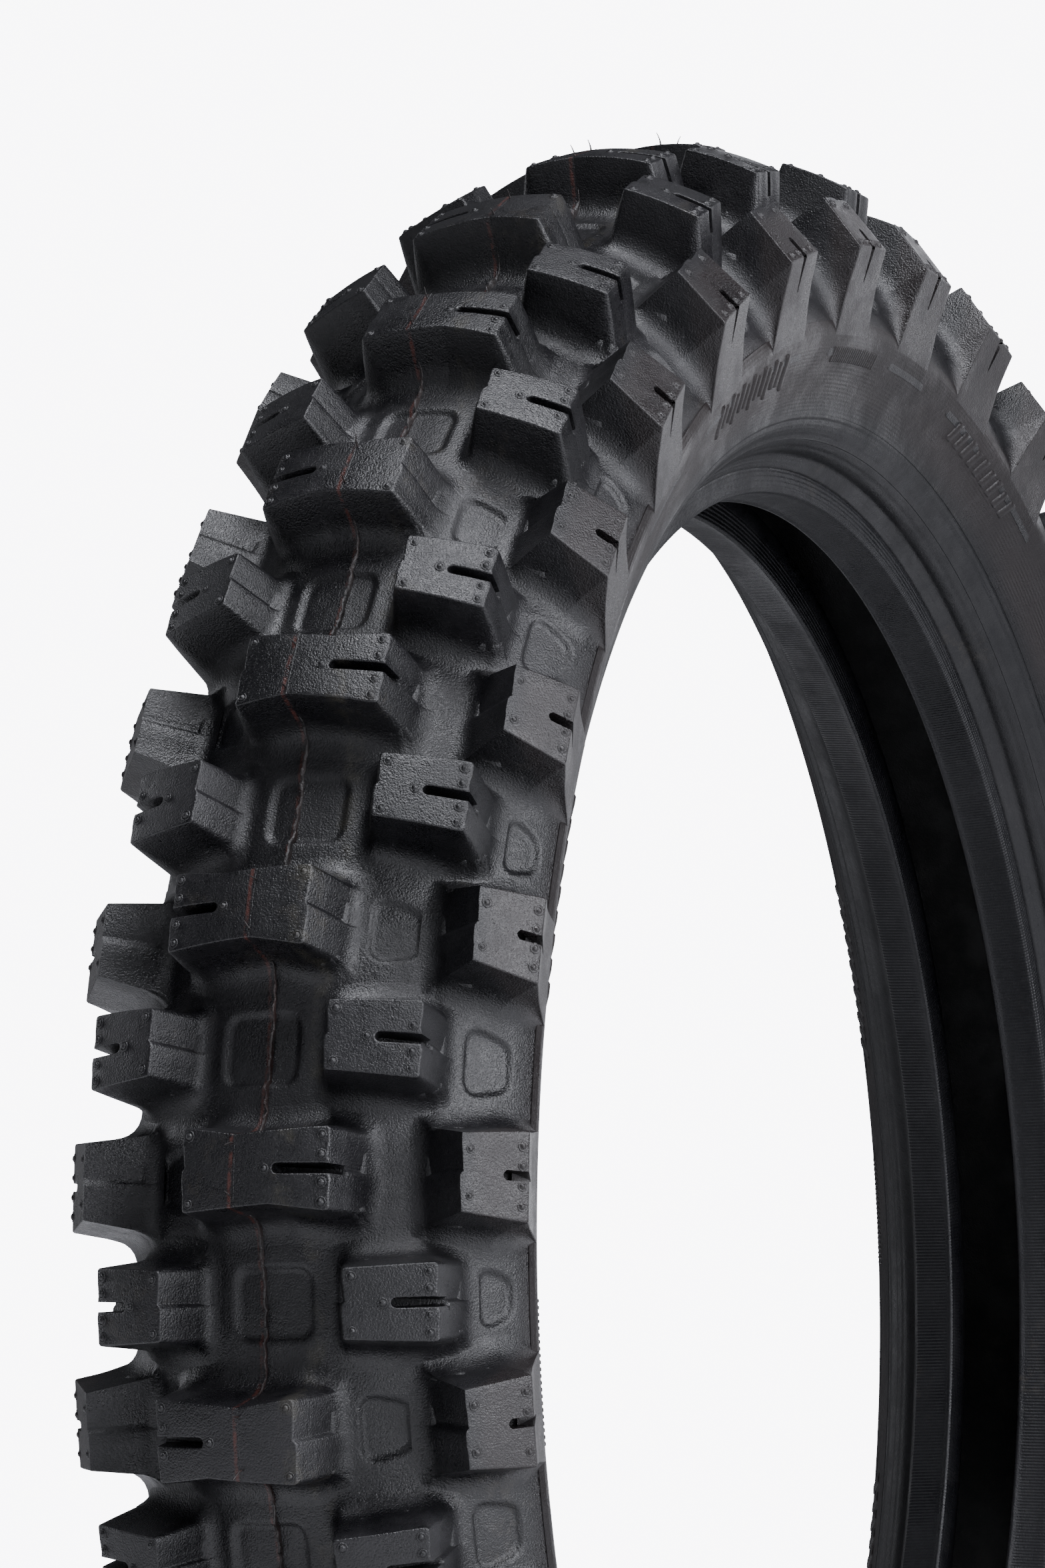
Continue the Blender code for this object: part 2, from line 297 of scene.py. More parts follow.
def outline_normals(points):
    """Outward unit normals of an anticlockwise closed outline."""
    ahead = np.roll(points, -1, axis=0) - points
    behind = points - np.roll(points, 1, axis=0)
    ahead /= np.hypot(*ahead.T)[:, None]
    behind /= np.hypot(*behind.T)[:, None]
    way = ahead + behind
    way /= np.maximum(np.hypot(*way.T), 0.3)[:, None]
    normals = np.stack([way[:, 1], -way[:, 0]], -1)
    stretch = 1.0 / np.clip((ahead * way).sum(1), 0.6, 1.0)
    return normals * stretch[:, None]


def inside(points, outline):
    """True for points inside a closed outline."""
    x, y = points[:, 0][:, None], points[:, 1][:, None]
    a, b = outline, np.roll(outline, -1, axis=0)
    cross = (a[:, 1] > y) != (b[:, 1] > y)
    rise = np.where(b[:, 1] == a[:, 1], 1e-9, b[:, 1] - a[:, 1])
    at = a[:, 0] + (y - a[:, 1]) * (b[:, 0] - a[:, 0]) / rise
    return ((cross & (x < at)).sum(1) % 2).astype(bool)


def nearest(x, y, outline):
    """Offset (n, 2) from a closed outline, True where inside, and the nearest edge."""
    a, b = outline, np.roll(outline, -1, axis=0)
    e = b - a
    px, py = x[:, None] - a[:, 0], y[:, None] - a[:, 1]
    f = np.clip((px * e[:, 0] + py * e[:, 1]) / np.maximum((e ** 2).sum(1), 1e-9), 0, 1)
    dx, dy = px - f * e[:, 0], py - f * e[:, 1]
    best = np.argmin(dx ** 2 + dy ** 2, axis=1)[:, None]
    offset = np.stack([np.take_along_axis(v, best, 1)[:, 0] for v in (dx, dy)], -1)
    return offset, inside(np.stack([x, y], -1), outline), best[:, 0]


def signed_distance(x, y, outline):
    """Distance of points to a closed outline, negative inside."""
    offset, within, _ = nearest(x, y, outline)
    d = np.hypot(*offset.T)
    return np.where(within, -d, d)


def fill_top(loop, spacing):
    """Triangles over an outline with even points inside. Returns the added points, triangles."""
    low, high = loop.min(0), loop.max(0)
    xs = np.arange(low[0] + spacing / 2, high[0], spacing)
    ys = np.arange(low[1] + spacing / 2, high[1], spacing)
    grid = np.array([(x, y + (i % 2) * spacing / 2) for i, x in enumerate(xs) for y in ys])
    grid = grid[signed_distance(grid[:, 0], grid[:, 1], loop) < -0.45 * spacing]
    base = len(loop)
    edges = [(i, (i + 1) % base) for i in range(base)]
    points = np.concatenate([loop, grid])
    out = delaunay_2d_cdt([Vector(p) for p in points], edges, [list(range(base))], 1, 1e-6)
    index = [origin[0] if origin else -1 for origin in out[3]]
    tris = [[index[v] for v in f] for f in out[2] if len(f) == 3]
    tris = np.array([f for f in tris if min(f) >= 0])
    ab, ac = (points[tris[:, k]] - points[tris[:, 0]] for k in (1, 2))
    flipped = ab[:, 0] * ac[:, 1] - ab[:, 1] * ac[:, 0] < 0
    tris[flipped] = tris[flipped][:, ::-1]
    return points[base:], tris


# ---- knobs

class Knob:
    """One knob in tyre coordinates (t, r, angle), relative to its row, on the right side."""

    def __init__(self, points, tris, quads, foot, pips):
        self.points = points
        self.tris = tris
        self.quads = quads
        self.foot = foot
        self.pips = pips

    def place(self, gather, hand, angle):
        p = self.points
        spot = world(p[:, 0] * hand, p[:, 1], p[:, 2] + angle)
        gather.add(spot, self.tris, self.quads, reverse=hand < 0)


# Mould step across an end wall: stops along it, its height, its groove, where it fades
JOG_STOPS = (-3.0, -1.8, -0.9, -0.45, 0.0, 0.45, 0.9, 1.8, 3.2)
JOG_HEIGHT = 0.42
JOG_GROOVE = 0.5
JOG_HALF = 6.5
JOG_FADE = 3.0
JOG_SHARE = 0.7  # share of the step that shows at the top edge
JOG_SPREAD = 0.03  # and how much that share grows per mm of depth


def jog(s):
    """Offset of an end wall at s: the lower half stands proud of the upper half."""
    step = JOG_HEIGHT * np.tanh((0.1 - s) / 0.45)
    step -= JOG_GROOVE * np.exp(-((s - 0.75) / 0.8) ** 2)
    return step * smooth((JOG_HALF - np.abs(s)) / JOG_FADE)


def ring_quads(rings, count):
    return grid_quads(rings, count, wrap=True)[:, ::-1]


EDGE_ROUND = 0.42
EDGE = ((0.0, EDGE_ROUND), (0.12, 0.13), (EDGE_ROUND, 0.0))  # (depth, inset) of the top edge
SLOT_DEPTHS = (3.2, 6.6)
SLOT_DRAFT = 0.04
WALL_SPACING = 1.7
TOP_SPACING = 3.4
CURVE = (0.0, 0.14, 0.3, 0.47, 0.65, 0.83, 1.0)
TOUCH = 0.01
CORNER, INNER_CORNER, BENT_CORNER = 1.1, 0.9, 0.6
PIP_INSET = 1.9


def fillet_size(across):
    """Fillet for a wall: large under the leading and trailing walls, small under the ends."""
    return SIDE_FILLET + (END_FILLET - SIDE_FILLET) * np.abs(across) ** 1.5


def fillet_rings(above, foot, u, angle, jut):
    """Rings from a wall at above, bent round foot, to the floor at (u, angle).

    jut: offset of the wall by its mould step, which dies out down the fillet.
    """
    t, r, nt, nr = floor_at(u)
    end = np.stack([t - nt * SINK, r - nr * SINK, angle], -1)
    return [
        (1 - f) ** 2 * above + 2 * f * (1 - f) * foot + f * f * end + jut * (1 - f) for f in CURVE
    ]


def wall_lean(foot, above, across, along):
    """How far walls with outward direction (across, along) lean in, per unit of height."""
    _, _, nt, nr = floor_at(floor_length(foot[:, 0]))
    d = above - foot
    way = (d[:, 0] * nr - d[:, 1] * nt) * across + d[:, 2] * foot[:, 1] * along
    return -way / np.maximum(d[:, 0] * nt + d[:, 1] * nr, 0.1)


def block(corners, slot_mouth, slot_end, drafts, pips):
    """Centre or intermediate knob: plan corners (t, s, radius) anticlockwise.

    The slot runs along s = 0 from the end wall at slot_mouth to slot_end.
    drafts: lean of the end walls that face -t and +t.
    """
    way = math.copysign(1.0, slot_mouth - slot_end)
    loop = rounded(corners, WALL_SPACING)
    count = len(loop)
    normals = outline_normals(loop)
    in_slot = np.abs(loop[:, 1]) < SLOT_HALF + TOUCH
    in_slot &= (loop[:, 0] - slot_mouth) * way < TOUCH
    in_slot &= (loop[:, 0] - (slot_end - way * 0.5)) * way > 0
    lips = in_slot & (np.abs(loop[:, 0] - slot_mouth) < TOUCH)
    # Where the slot's points go once the slot has closed: spread over its mouth
    start = int(np.flatnonzero(in_slot & ~np.roll(in_slot, 1))[0])
    order = (start + np.arange(in_slot.sum())) % count
    closed = loop.copy()
    closed[order, 0] = slot_mouth
    closed[order, 1] = np.linspace(loop[order[0], 1], loop[order[-1], 1], len(order))
    wall = normals.copy()
    wall[order] = (way, 0.0)
    draft = np.where(wall[:, 0] < 0, *drafts)
    lean = np.stack([wall[:, 0] * draft, wall[:, 1] * DRAFT], -1)
    step = np.where(np.abs(wall[:, 0]) > 0.97, jog(closed[:, 1]), 0.0)

    def section(base, out, depth):
        t = base[:, 0] + out[:, 0]
        nt, nr = crown_normal(t)
        angle = (base[:, 1] + out[:, 1]) / TYRE_RADIUS
        return np.stack([t - nt * depth, crown(t) - nr * depth, angle], -1)

    def grown(depth, spread):
        return lean * depth + wall * (step * (JOG_SHARE + spread * depth))[:, None]

    # Depth at which each wall meets the floor
    deep = np.full(count, KNOB_DEPTH)
    for _ in range(8):
        at = section(closed, lean * deep[:, None], deep)
        deep += at[:, 1] - floor_radius(at[:, 0])
    rings = []
    for depth, inset in EDGE:
        grow = grown(depth, 0.0) - normals * inset
        grow[order] = -normals[order] * inset
        grow[lips] += lean[lips] * depth
        rings.append(section(loop, grow, depth))
    for depth in SLOT_DEPTHS:
        grow = grown(depth, JOG_SPREAD)
        grow[order] = normals[order] * SLOT_DRAFT * depth
        grow[lips] = lean[lips] * depth
        rings.append(section(loop, grow, depth))
    depth = SLOT_DEPTHS[-1] + 0.5
    rings.append(section(closed, grown(depth, JOG_SPREAD), depth))
    size = fillet_size(wall[:, 0])
    foot = section(closed, lean * deep[:, None], deep)
    above = section(closed, lean * (deep - size)[:, None], deep - size)
    u = floor_length(foot[:, 0])
    angle = foot[:, 2] + size * wall[:, 1] / foot[:, 1]
    jut = (wall[:, 0] * step)[:, None] * (1.0, 0.0, 0.0)
    rings += fillet_rings(above, foot, u + size * wall[:, 0], angle, jut)
    points, tris = fill_top(rings[0][:, [0, 2]] * (1.0, TYRE_RADIUS), TOP_SPACING)
    top = np.stack([points[:, 0], crown(points[:, 0]), points[:, 1] / TYRE_RADIUS], -1)
    tris = np.where(tris >= count, tris - count + len(rings) * count, tris)
    outline = np.stack([u, foot[:, 2], wall_lean(foot, above, *wall.T)], -1)
    quads = ring_quads(len(rings), count)
    return Knob(np.concatenate(rings + [top]), tris, quads, outline[~in_slot], pips)


def slot_corners(mouth, end):
    """Notch for a slot, in order from its upper lip to its lower lip if it opens to -t."""
    way = math.copysign(1.0, mouth - end)
    h = SLOT_HALF
    c = end + way * h
    arc = [(c - way * h * math.sin(a), h * math.cos(a), 0) for a in np.linspace(0, math.pi, 7)]
    return [(mouth, h, 0)] + arc + [(mouth, -h, 0)]


def centre_block(flip):
    """Centre block with its long side to -t; flip says which edge has its apex on the line."""
    apex = (0.0, APEX_HALF * flip, BENT_CORNER)
    bend = (-BEND_OFFSET, -BEND_HALF * flip, BENT_CORNER)
    upper, lower = (apex, bend) if flip > 0 else (bend, apex)
    corners = [(SHORT_SIDE, -BLOCK_HALF, CORNER)] + [(SHORT_SIDE, s, 0) for s in JOG_STOPS]
    corners += [(SHORT_SIDE, BLOCK_HALF, CORNER), upper, (-LONG_SIDE, BLOCK_HALF, CORNER)]
    corners += slot_corners(-LONG_SIDE, -SLOT_END)
    corners += [(-LONG_SIDE, -BLOCK_HALF, CORNER), lower]
    side = BLOCK_HALF - 2.3
    pips = [(PIP_INSET - LONG_SIDE, s) for s in (side, 3.6, -3.6, -side)]
    pips += [(2.0 - SLOT_END, 0.0)] + [(SHORT_SIDE - PIP_INSET, s) for s in (side, -side)]
    return block(corners, -LONG_SIDE, -SLOT_END, (CENTRE_END_DRAFT, CENTRE_END_DRAFT), pips)


def intermediate_knob(reach):
    inner, outer = reach
    slot_end = outer - KNOB_SLOT
    corners = [(inner, KNOB_INNER_HALF, INNER_CORNER)] + [(inner, -s, 0) for s in JOG_STOPS]
    corners += [(inner, -KNOB_INNER_HALF, INNER_CORNER), (outer, -KNOB_OUTER_HALF, CORNER)]
    corners += slot_corners(outer, slot_end)[::-1] + [(outer, KNOB_OUTER_HALF, CORNER)]
    pips = [(outer - PIP_INSET, s) for s in (8.0, 3.5, -3.5, -8.0)]
    pips += [(slot_end - PIP_INSET, 0.0), (inner + 2.2, 6.9), (inner + 2.2, -6.9)]
    return block(corners, outer, slot_end, (DRAFT, OUTER_END_DRAFT), pips)

# ---- shoulder knob

top_line = np.array(SHOULDER_TOP)
face_line = spline(SHOULDER_FACE, 1.9)
RIDGE = float(np.hypot(*(top_line[1] - top_line[0])))


def round_ridge(path, size):
    """Path with the corner at its second point eased."""
    a, b, c = path[0], path[1], path[2]
    p = b + (a - b) / np.hypot(*(a - b)) * size
    q = b + (c - b) / np.hypot(*(c - b)) * size
    m = 0.25 * p + 0.5 * b + 0.25 * q
    return np.concatenate([[a], [p], [m], [q], path[2:]])


shoulder_path = round_ridge(np.concatenate([top_line, face_line[1:]]), 0.45)
shoulder_v = arc_lengths(shoulder_path)
V_END = float(shoulder_v[-1])
shoulder_slopes = unit_slopes(shoulder_path, shoulder_v)


def shoulder_at(v):
    """Section point and outward normal on the outside of a shoulder knob."""
    t, r, dt, dr = path_at(v, shoulder_v, shoulder_path, shoulder_slopes)
    size = np.hypot(dt, dr)
    return t, r, -dr / size, dt / size

def shoulder_width(v):
    """Half width, as an angle, of a shoulder knob along its outside."""
    inner, ridge, run = SHOULDER_ANGLES
    x = np.clip((v - RIDGE) / (V_END - RIDGE), 0, 1)
    return np.where(v < RIDGE, inner + (ridge - inner) * v / RIDGE, ridge + (run - ridge) * x ** 1.5)


SHOULDER_SLOT = 7.5
SHOULDER_SLOT_LOW = 11.0
SHOULDER_SLOT_DEEP = 5.5
SHOULDER_DRAFT = 0.17
TOP_MIDDLE_RADIUS = 320.0
RIDGE_RADIUS = 312.0
SHARES = np.array([-1, -0.82, -0.62, -0.42, -0.26])  # columns beside the slot
SLOT_COLUMNS = np.array([-1.0, -0.5, 0.0, 0.5, 1.0])
SLOT_ROUND = (1.0, 0.25, 0.0, 0.25, 1.0)  # its round end


def border(cells):
    """Entries round the edge of an index grid, down the first column first."""
    return np.concatenate([cells[:, 0], cells[-1, 1:], cells[-2::-1, -1], cells[0, -2:0:-1]])


def shoulder_knob():
    """Knob over the tyre's edge: flat top, ridge, and a face that runs into the sidewall."""
    first, last = RIDGE - SHOULDER_SLOT, RIDGE + SHOULDER_SLOT_LOW
    rows = np.array(sorted(
        [EDGE_ROUND, *np.arange(2.4, first - 0.8, 2.2), first, first + 1.5]
        + [RIDGE + v for v in (-4.2, -2.0, -0.45, 0.0, 0.45, 2.5, 5.5)]
        + [last - 2.6, last, *np.linspace(last + 2.0, V_END, 7)]
    ))
    s0, s1 = len(SHARES), len(SHARES) + len(SLOT_COLUMNS)
    columns = s0 + s1
    grid = np.zeros((len(rows), columns, 3))
    for i, v in enumerate(rows):
        w = float(shoulder_width(v)) - EDGE_ROUND / RIDGE_RADIUS
        narrow = np.clip(1.0 - (v - RIDGE) / (last - RIDGE) * 0.75, 0.25, 1.0)
        narrow *= SLOT_HALF / RIDGE_RADIUS
        vs = np.full(columns, v)
        if abs(v - first) < 1e-6:
            vs[s0:s1] += SLOT_ROUND
        t, r, _, _ = shoulder_at(vs)
        angles = np.concatenate([SHARES * w, SLOT_COLUMNS * narrow, -SHARES[::-1] * w])
        grid[i] = np.stack([t, r, angles], -1)
    cells = np.arange(len(rows) * columns).reshape(len(rows), columns)
    used = cells.size
    a, b = (int(np.argmin(abs(rows - v))) for v in (first, last))
    quads = grid_quads(len(rows), columns)
    row, col = np.divmod(np.arange(len(quads)), columns - 1)
    hole = (row >= a) & (row < b) & (col >= s0) & (col < s1 - 1)
    # Rows run along +t and columns along the angle, which is anticlockwise from outside
    faces = [quads[~hole][:, ::-1]]
    # Slot walls and floor: a lower copy of the slot's cells
    low = grid[a:b + 1, s0:s1].copy()
    for i, v in enumerate(rows[a:b + 1]):
        _, _, nt, nr = shoulder_at(v)
        share = 1.0 if v <= RIDGE - 2 else (last - v) / (last - RIDGE + 2)
        drop = max(SHOULDER_SLOT_DEEP * share, 0.05)
        low[i] = (low[i] - (nt * drop, nr * drop, 0.0)) * (1.0, 1.0, 0.8)
    lower = np.arange(low.size // 3).reshape(low.shape[:2]) + used
    faces.append(grid_quads(*lower.shape)[:, ::-1] + used)
    p, q = border(cells[a:b + 1, s0:s1]), border(lower)
    faces.append(np.stack([p, np.roll(p, -1), np.roll(q, -1), q], -1)[:, ::-1])
    used += lower.size
    # Outer walls: round the grid's edge from its last column, anticlockwise from outside
    index = np.roll(border(cells), columns - 1)
    row, col = np.divmod(index, columns)
    side = np.where(col == 0, -1.0, np.where(col == columns - 1, 1.0, 0.0))
    inner = (row == 0).astype(float)
    edge_v = np.where(row == 0, 0.0, rows[row])
    angle = grid.reshape(-1, 3)[index, 2]
    outer_angle = np.where(side != 0, side * shoulder_width(edge_v), angle * 1.02)
    t, r, nt, nr = shoulder_at(edge_v)
    crest = np.stack([t, r, outer_angle], -1)
    x = edge_v / V_END
    u = floor_length(38.6) - 1.5
    u = u + (FLOOR_END - u) * (x + 0.5 * x * (1 - x))
    tb, rb, _, _ = floor_at(u)
    reach = np.hypot(tb - t, rb - r)
    foot = np.stack([tb, rb, outer_angle + side * SHOULDER_DRAFT * reach / rb], -1)
    jut = (inner * jog(angle * TOP_MIDDLE_RADIUS))[:, None] * (-0.6, 0.5, 0.0)
    down = (foot - crest) / np.maximum(reach, 0.5)[:, None]
    eased = np.stack([t - nt * 0.12, r - nr * 0.12, outer_angle - side * 0.13 / RIDGE_RADIUS], -1)
    size = np.minimum(fillet_size(inner), FILLET_SHARE * reach)
    size = np.where(row == len(rows) - 1, TOUCH, size)
    above = foot - down * size[:, None]
    rings = [eased + jut, crest + down * EDGE_ROUND + jut, 0.5 * crest + 0.5 * above + jut]
    rings += fillet_rings(above, foot, u - inner * size, foot[:, 2] + side * size / rb, jut)
    first_ring = np.arange(len(index)) + used
    faces.append(ring_quads(len(rings), len(index)) + used)
    faces.append(np.stack([index, first_ring, np.roll(first_ring, -1), np.roll(index, -1)], -1))
    pips = [(RIDGE - PIP_INSET, s) for s in (0.8, 0.36, -0.36, -0.8)]
    pips += [(2.4, 0.74), (2.4, -0.74)]
    outline = np.stack([u, foot[:, 2], wall_lean(foot, above, -inner, side)], -1)
    points = np.concatenate([grid.reshape(-1, 3), low.reshape(-1, 3)] + rings)
    return Knob(points, None, np.concatenate(faces), outline, pips)


centre_knobs = {flip: centre_block(flip) for flip in (1, -1)}
outer_knob = intermediate_knob(OUTER_KNOB)
inner_knob = intermediate_knob(INNER_KNOB)
side_knob = shoulder_knob()


def row_turns(row):
    """The hand of a row's long side, and which edge of its block has its apex on the line."""
    return 1 if row % 2 == 0 else -1, 1 if row % 4 < 2 else -1


def layout(rows=range(ROW_COUNT)):
    """Every knob of some rows as (piece name, knob, hand, angle)."""
    for row in rows:
        angle = FIRST_ROW + row * PITCH
        hand, flip = row_turns(row)
        yield "centre_blocks", centre_knobs[flip], hand, angle
        for side in (1, -1):
            knob = outer_knob if side == hand else inner_knob
            yield "intermediate_knobs", knob, side, angle + PITCH / 2
            yield "shoulder_knobs", side_knob, side, angle


SHARP = 50  # degrees
knobs = {name: Gather() for name in ("centre_blocks", "intermediate_knobs", "shoulder_knobs")}
for name, knob, hand, angle in layout():
    knob.place(knobs[name], hand, angle)
pieces = {name: gather.make(name, SHARP) for name, gather in knobs.items()}


# ---- tread floor

ACROSS = 190
AROUND = 320
NEAR_ROWS = range(-1, PATTERN_ROWS + 1)
PAD_DEPTH = 1.35
PAD_CORNER = 4.6
UNION = 3.0  # how softly neighbouring fillets join
FIELD_SHARE = 0.9  # size of the floor's fillets, against those of the knobs
LEAN_RANGE = (0.02, 0.85)
FACE_START = 52.0
FREE = 30.0  # height limit where no face is over the floor


def pad(low, high, low_half, high_half, u, angle, hand=1):
    """Outline (u, angle) of a shallow pad: from u + low to u + high, mirrored if hand is -1."""
    corners = [(low, -low_half), (high, -high_half), (high, high_half), (low, low_half)]
    points = rounded([(*corner, PAD_CORNER) for corner in corners], 1.6)
    r = float(floor_at(u)[1])
    return np.stack([hand * (points[:, 0] + u), angle + points[:, 1] / r], -1)[::hand]


def floor_pads():
    for row in NEAR_ROWS:
        hand, _ = row_turns(row)
        angle = FIRST_ROW + row * PITCH
        middle = angle + PITCH / 2
        yield pad(-10.8, 10.8, 9.4, 9.4, 2.7 * hand, middle)
        yield pad(-7.6, 6.4, 9.2, 6.0, 31.5, angle, hand)
        yield pad(-5.4, 5.6, 8.4, 4.8, 62.5, middle, hand)
        yield pad(-7.6, 6.8, 9.6, 6.2, 59.0, middle, -hand)


face_dense = spline(SHOULDER_FACE, 0.5)


def face_height(u):
    """Height of the shoulder knobs' outer face over the floor, large near the middle."""
    t, r, nt, nr = floor_at(abs(u))
    if t < FACE_START:
        return FREE
    line = face_dense - (t, r)
    across = line @ np.array([nr, -nt])
    height = line @ np.array([nt, nr])
    order = np.argsort(across)
    return float(np.interp(0.0, across[order], height[order], left=0.0, right=FREE))


def floor_heights():
    """Height of knob fillets and pads over the floor: one period of rows."""
    us = np.linspace(-FLOOR_END, FLOOR_END, ACROSS)
    angles = FIRST_ROW - PITCH / 2 + PERIOD * np.arange(AROUND) / AROUND
    outlines = [
        (knob.foot * (side, 1, 1) + (0, angle, 0))[::side]
        for _, knob, side, angle in layout(NEAR_ROWS)
    ]
    pads = list(floor_pads())

    def close_by(line, u, r, margin, span):
        """Which angles at u are near an outline, and the outline in mm."""
        beside = line[:, 0].min() <= u + margin and line[:, 0].max() >= u - margin
        near = beside & (np.abs((angles - line[:, 1].mean()) * r) < span)
        return near, line[:, :2] * (1, r)

    heights = np.zeros((ACROSS, AROUND))
    for i, u in enumerate(us):
        r = float(floor_at(u)[1])
        limit = face_height(u)
        total = np.zeros(AROUND)
        for line in outlines:
            near, metric = close_by(line, u, r, SIDE_FILLET, 30 + SIDE_FILLET)
            if not near.any():
                continue
            away, within, edge = nearest(np.full(near.sum(), u), angles[near] * r, metric)
            d = np.hypot(*away.T)
            size = fillet_size(away[:, 0] / np.maximum(d, 1e-6))
            size = np.maximum(np.minimum(size, FILLET_SHARE * limit), 0.02) * FIELD_SHARE
            # Height of a parabola that leaves the floor flat and meets the leaning wall
            lean = np.clip(line[edge, 2], *LEAN_RANGE)
            x = np.where(within, -d, d) / size
            root = np.sqrt(np.clip(lean ** 2 + (1 - lean) * (lean + x), 0, None))
            f = np.clip((root - lean) / (1 - lean), 0, 1)
            total[near] += (size * (1 - f) ** 2) ** UNION
        h = total ** (1 / UNION)
        h = np.minimum(h, max(limit - 0.5, 0.0)) if limit < 20 else h
        for line in pads:
            near, metric = close_by(line, u, r, 3, 16)
            if near.any():
                d = signed_distance(np.full(near.sum(), u), angles[near] * r, metric)
                h[near] -= PAD_DEPTH * smooth((0.6 - d) / 1.6)
        heights[i] = h
    return us, heights


# One piece of floor for every time that the pattern repeats
us, heights = floor_heights()
REPEATS = ROW_COUNT // PATTERN_ROWS
start = FIRST_ROW - PITCH / 2
h = np.concatenate([heights, heights[:, :1]], axis=1)
t, r, nt, nr = (value[:, None] for value in floor_at(us))
floor_names = ["tread_floor_%d" % (k + 1) for k in range(REPEATS)]
for k, name in enumerate(floor_names):
    angles = start + k * PERIOD + PERIOD / AROUND * np.arange(AROUND + 1)
    spot = world(t + nt * h, r + nr * h, angles[None, :])
    # Rows run along +t, columns along the angle: turned to face outwards
    quads = grid_quads(ACROSS, AROUND + 1)[:, ::-1]
    pieces[name] = new_mesh(name, spot.reshape(-1, 3), [quads])


# ---- small moulded parts

# Vent pip: (radius, height) from its outside to its middle
PIP = [(1.3, -0.25), (1.2, 0.14), (1.0, 0.16), (0.78, -0.04), (0.66, 0.32), (0.38, 0.52)]
PIP_TOP = 0.58
PIP_SIDES = 8
PIPS_LOST = 0.04
HAIR_RADIUS = 0.3
HAIR_LEVELS, HAIR_SIDES = 6, 5


def tangent_frame(origin, across, along):
    """Matrix columns: across, along and outward directions at a surface point."""
    a = across / np.linalg.norm(across)
    n = np.cross(a, along)
    n /= np.linalg.norm(n)
    return np.stack([a, np.cross(n, a), n], -1)


def surface_point(knob, spot, hand, angle):
    """World point and frame of a plan position on top of a knob."""
    def at(t, s):
        if knob is side_knob:
            w = s * float(shoulder_width(t)) - math.copysign(1.6, s) / TOP_MIDDLE_RADIUS
            tt, rr, _, _ = shoulder_at(t)
            return world(tt * hand, rr, w + angle)
        return world(t * hand, crown(t), s / TYRE_RADIUS + angle)

    t, s = spot
    origin = at(t, s)
    delta = 0.05 if knob is not side_knob else 0.01
    across = (at(t + 0.05, s) - origin) * hand
    return origin, tangent_frame(origin, across, at(t, s + delta) - origin)


def prism_shape(rings, sides, tip):
    """Points, caps and quads of a small round part from rings (radius, height, t, s)."""
    turn = TURN * np.arange(sides) / sides
    points = [
        np.stack([rad * np.cos(turn) + t, rad * np.sin(turn) + s, np.full(sides, high)], -1)
        for rad, high, t, s in rings
    ]
    last, top = sides * (len(rings) - 1), sides * len(rings)
    caps = [(last + i, last + (i + 1) % sides, top) for i in range(sides)]
    quads = grid_quads(len(rings), sides, wrap=True)
    return np.concatenate(points + [[tip]]) * MM, caps, quads


def whisker(length, lean):
    """Thin rubber hair left by a mould vent, bent over by lean."""
    rings = []
    for f in np.arange(HAIR_LEVELS) / (HAIR_LEVELS - 1):
        rings.append((HAIR_RADIUS * (1 - 0.55 * f), length * f - 0.3, *(lean * f * f)))
    return prism_shape(rings, HAIR_SIDES, (*lean, length))


pip_shape, *pip_faces = prism_shape([(*ring, 0, 0) for ring in PIP], PIP_SIDES, (0, 0, PIP_TOP))
pip_gather = Gather()
hair_gather = Gather()
for name, knob, hand, angle in layout():
    for spot in knob.pips:
        origin, basis = surface_point(knob, spot, hand, angle)
        if rng.random() < PIPS_LOST:
            continue
        size = 1.0 + 0.3 * rng.random()
        pip_gather.add(origin + (pip_shape * size) @ basis.T, *pip_faces)
    if name == "centre_blocks":
        for s in (APEX_HALF - 2.2, 2.0 - APEX_HALF):
            origin, basis = surface_point(knob, (0.4, s), hand, angle)
            shape, *faces = whisker(2.2 + 2.2 * rng.random(), rng.normal(0.0, 0.9, 2))
            hair_gather.add(origin + shape @ basis.T, *faces)
pieces["vent_pips"] = pip_gather.make("vent_pips")
pieces["vent_whiskers"] = hair_gather.make("vent_whiskers")

# Flash fin on the parting line: ragged along the grooves, a thin crest over the blocks
FIN_COUNT = 2 * AROUND * REPEATS
FIN_SECTION = ((-0.4, 0.0), (-0.26, 0.6), (0.0, 1.0), (0.26, 0.6), (0.4, 0.0))
FIN_ROOT = 0.8
FIN_LOW = 0.7
FIN_TALL = 3.8
CREST_SECTION = ((-0.2, -0.1), (-0.06, 0.07), (0.06, 0.07), (0.2, -0.1))


def between(grain, knots):
    """Knot values, grain steps of the fin apart, at every step of the fin."""
    return np.interp(np.arange(FIN_COUNT) / grain, np.arange(len(knots)), knots)


def knot_count(grain):
    return FIN_COUNT // grain + 2


middle = ACROSS // 2
groove = 0.5 * (heights[middle] + heights[middle - 1])
fin_angles = start + TURN * np.arange(FIN_COUNT) / FIN_COUNT
base_radius = FLOOR_RADIUS + np.interp(
    (fin_angles - start) % PERIOD, PERIOD * np.arange(AROUND + 1) / AROUND,
    np.append(groove, groove[0]),
)
ragged = np.zeros(FIN_COUNT)
for grain, weight in ((3, 0.3), (6, 0.35), (19, 0.2), (61, 0.15)):
    ragged += between(grain, rng.random(knot_count(grain))) * weight
sway = np.zeros(FIN_COUNT)
for grain, weight in ((37, 0.2), (4, 0.14)):
    sway += between(grain, rng.normal(0, weight, knot_count(grain)))
fin_top = base_radius + FIN_LOW + FIN_TALL * np.clip(ragged - 0.2, 0, 1)
fin_top = np.minimum(fin_top, TYRE_RADIUS - 0.3)
fin_base = base_radius - FIN_ROOT
